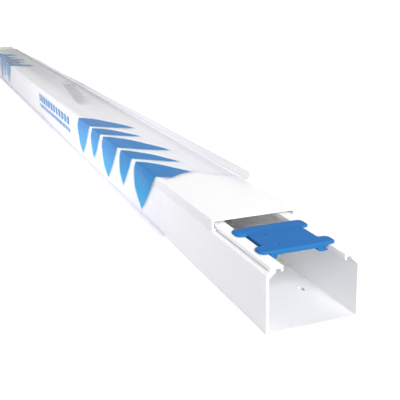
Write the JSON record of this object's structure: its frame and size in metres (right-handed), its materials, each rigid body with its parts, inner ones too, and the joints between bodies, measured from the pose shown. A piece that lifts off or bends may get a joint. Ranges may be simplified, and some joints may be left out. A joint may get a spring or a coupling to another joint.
{
  "type": "cable trunking length",
  "caption": "Straight length of rectangular cable trunking: slotted channel, clip-on lid drawn back to show a bridging clip, and loose protective film.",
  "frame": {"origin": "middle of the channel's underside, the face that goes against the wall or ceiling", "axes": "+X across the trunking, +Y along it away from the open end, +Z from the underside to the lid"},
  "size_m": [0.0865, 2.106, 0.0717],
  "materials": {
    "channel_pvc": "extruded white rigid PVC, satin",
    "lid_pvc": "extruded white rigid PVC, smooth",
    "clip_plastic": "injection-moulded blue plastic, satin",
    "film": "clear printed polyethylene film, wrinkled"
  },
  "bodies": {
    "channel": {"channel": "channel_pvc", "film_wrap": "film"},
    "lid": {"lid": "lid_pvc"},
    "clip": {"cable_clip": "clip_plastic"}
  },
  "joints": [
    {"name": "lid_slide", "type": "slide", "parent": "channel", "child": "lid", "axis": [0, 1, 0], "range_m": [-0.106, 0]},
    {"name": "clip_slide", "type": "slide", "parent": "channel", "child": "clip", "axis": [0, 1, 0], "range_m": [-0.0235, 1.9165]}
  ]
}
